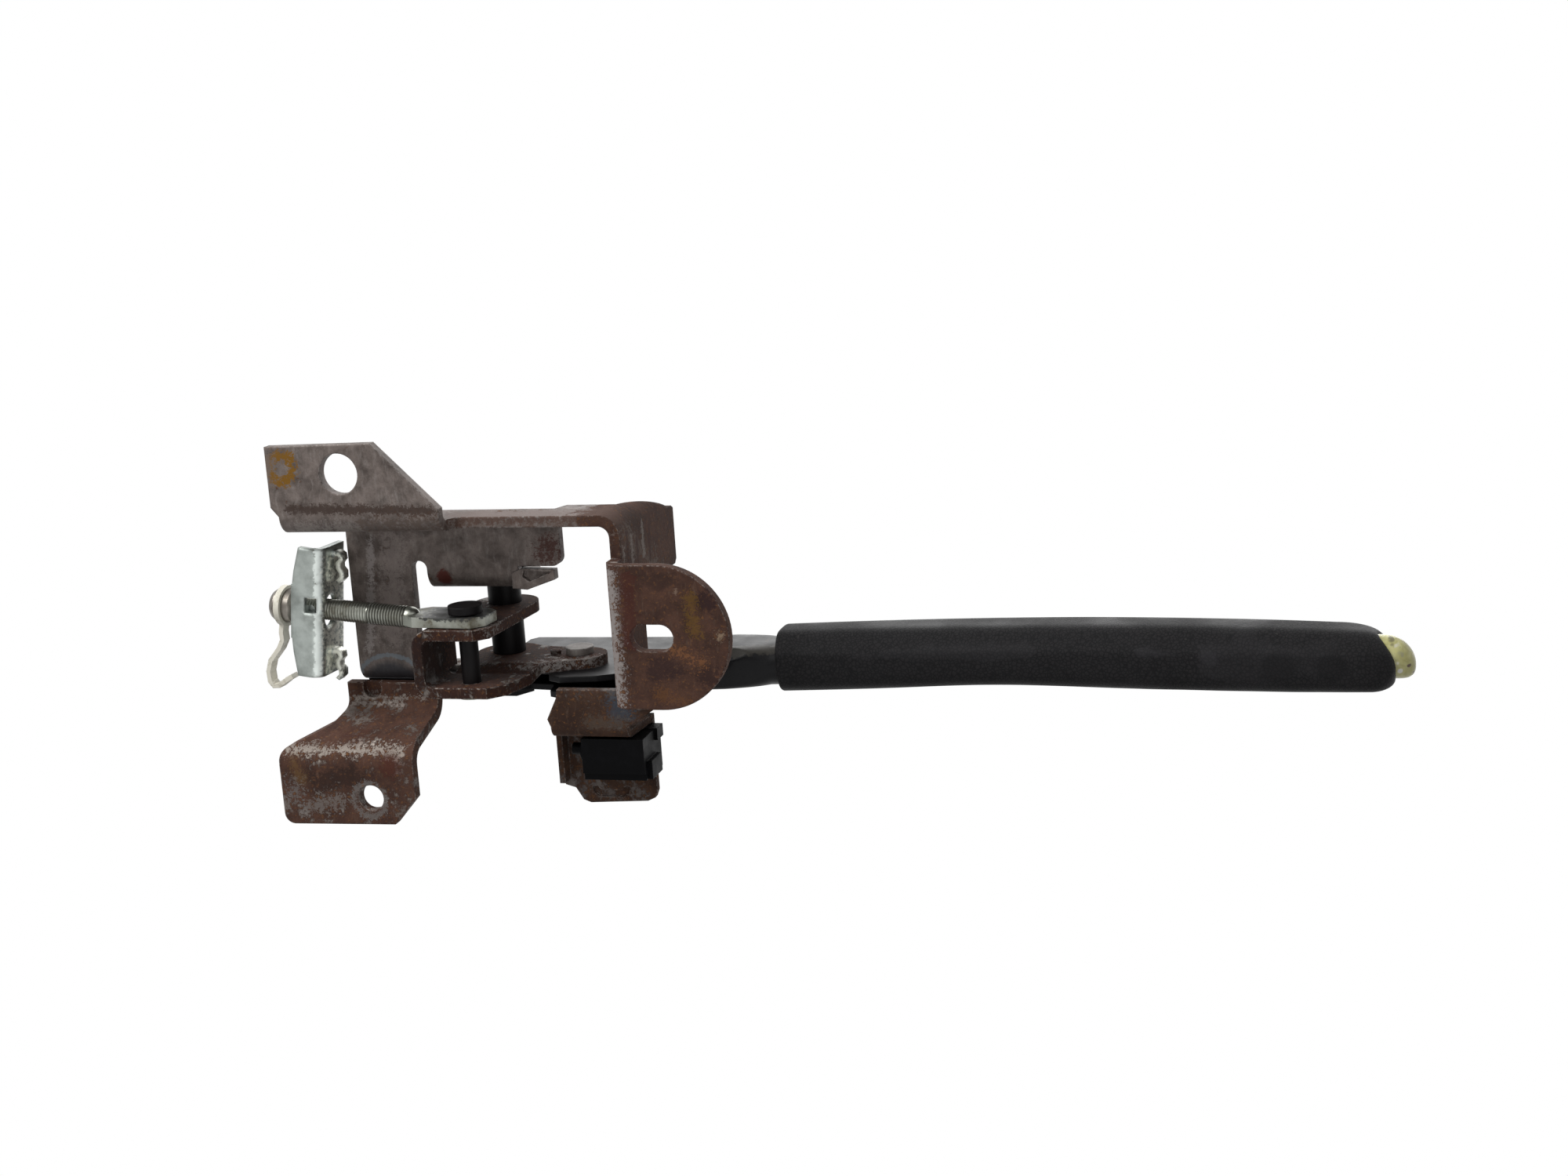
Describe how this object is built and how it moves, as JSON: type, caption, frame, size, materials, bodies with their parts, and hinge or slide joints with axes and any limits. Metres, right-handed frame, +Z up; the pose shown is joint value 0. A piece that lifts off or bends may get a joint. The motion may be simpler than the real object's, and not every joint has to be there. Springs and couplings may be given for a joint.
{
  "type": "parking brake lever",
  "caption": "Hand parking brake lever on a pressed floor bracket, with ratchet, arched grip, release button, crank, adjuster rod with cable equalizer and lamp switch.",
  "frame": {"origin": "centre of the rear right floor bolt hole, at the underside of its foot", "axes": "+X forward to the grip, +Y to the car's left, +Z up from the floor"},
  "size_m": [0.3644, 0.128, 0.0805],
  "materials": {
    "bracket_steel": "bare pressed steel, rusted and scuffed",
    "rust_steel": "rusted steel",
    "black_paint": "worn black paint",
    "black_oxide": "oiled black steel",
    "zinc": "dull zinc plating",
    "fastener_steel": "dull steel",
    "grip_skin": "fine grained sleeve",
    "black_plastic": "moulded",
    "clip_plastic": "off-white, soiled",
    "button_resin": "translucent yellow-green with flecks"
  },
  "bodies": {
    "bracket": {"main_bracket": "bracket_steel", "left_foot": "rust_steel", "sector_plate": "black_oxide", "sector_rivet_rear": "fastener_steel", "sector_rivet_front": "fastener_steel", "pivot_bolt": "fastener_steel", "pivot_nut": "fastener_steel", "switch_bracket": "rust_steel", "switch_body": "black_plastic", "switch_rivet": "fastener_steel"},
    "lever": {"lever_arm": "black_paint", "pivot_bush": "black_oxide", "crank": "rust_steel", "crank_rivet": "fastener_steel", "grip": "grip_skin", "pawl_pin": "fastener_steel", "button_guide": "black_plastic", "button_spring": "zinc", "clevis_pin": "black_oxide", "clevis_clip": "zinc"},
    "pawl": {"pawl": "black_oxide"},
    "button": {"release_button": "button_resin", "release_rod": "zinc"},
    "rod": {"adjuster_rod": "zinc", "adjuster_nut": "fastener_steel", "nut_clip": "clip_plastic"},
    "yoke": {"equalizer": "zinc"},
    "plunger": {"switch_plunger": "clip_plastic"}
  },
  "joints": [
    {"name": "lever_pull", "type": "hinge", "parent": "bracket", "child": "lever", "pos_m": [0.0335, 0.06, 0.0435], "axis": [0, -1, 0], "range_deg": [0, 36]},
    {"name": "button_press", "type": "slide", "parent": "lever", "child": "button", "axis": [-1, 0, 0], "range_m": [0, 0.0025], "stiffness_N_per_m": 900, "springref_m": -0.002, "deforming": ["button_spring"]},
    {"name": "pawl_lift", "type": "hinge", "parent": "lever", "child": "pawl", "pos_m": [0.07, 0.0752, 0.062], "axis": [0, 1, 0], "range_deg": [0, 15]},
    {"name": "rod_swing", "type": "hinge", "parent": "lever", "child": "rod", "pos_m": [0.033, 0.0492, 0.012], "axis": [0, 1, 0], "range_deg": [0, 18]},
    {"name": "yoke_tip", "type": "hinge", "parent": "rod", "child": "yoke", "pos_m": [-0.02078, 0.04669, 0.01576], "axis": [0.0698, 0, 0.9976], "range_deg": [-9, 3]},
    {"name": "plunger_press", "type": "slide", "parent": "bracket", "child": "plunger", "axis": [1, 0, 0], "range_m": [0, 0.003], "stiffness_N_per_m": 400, "springref_m": -0.002}
  ],
  "couplings": [
    {"joint": "pawl_lift", "follows": "button_press", "rad_per_m": 104.72},
    {"joint": "rod_swing", "follows": "lever_pull", "ratio": 0.5}
  ]
}
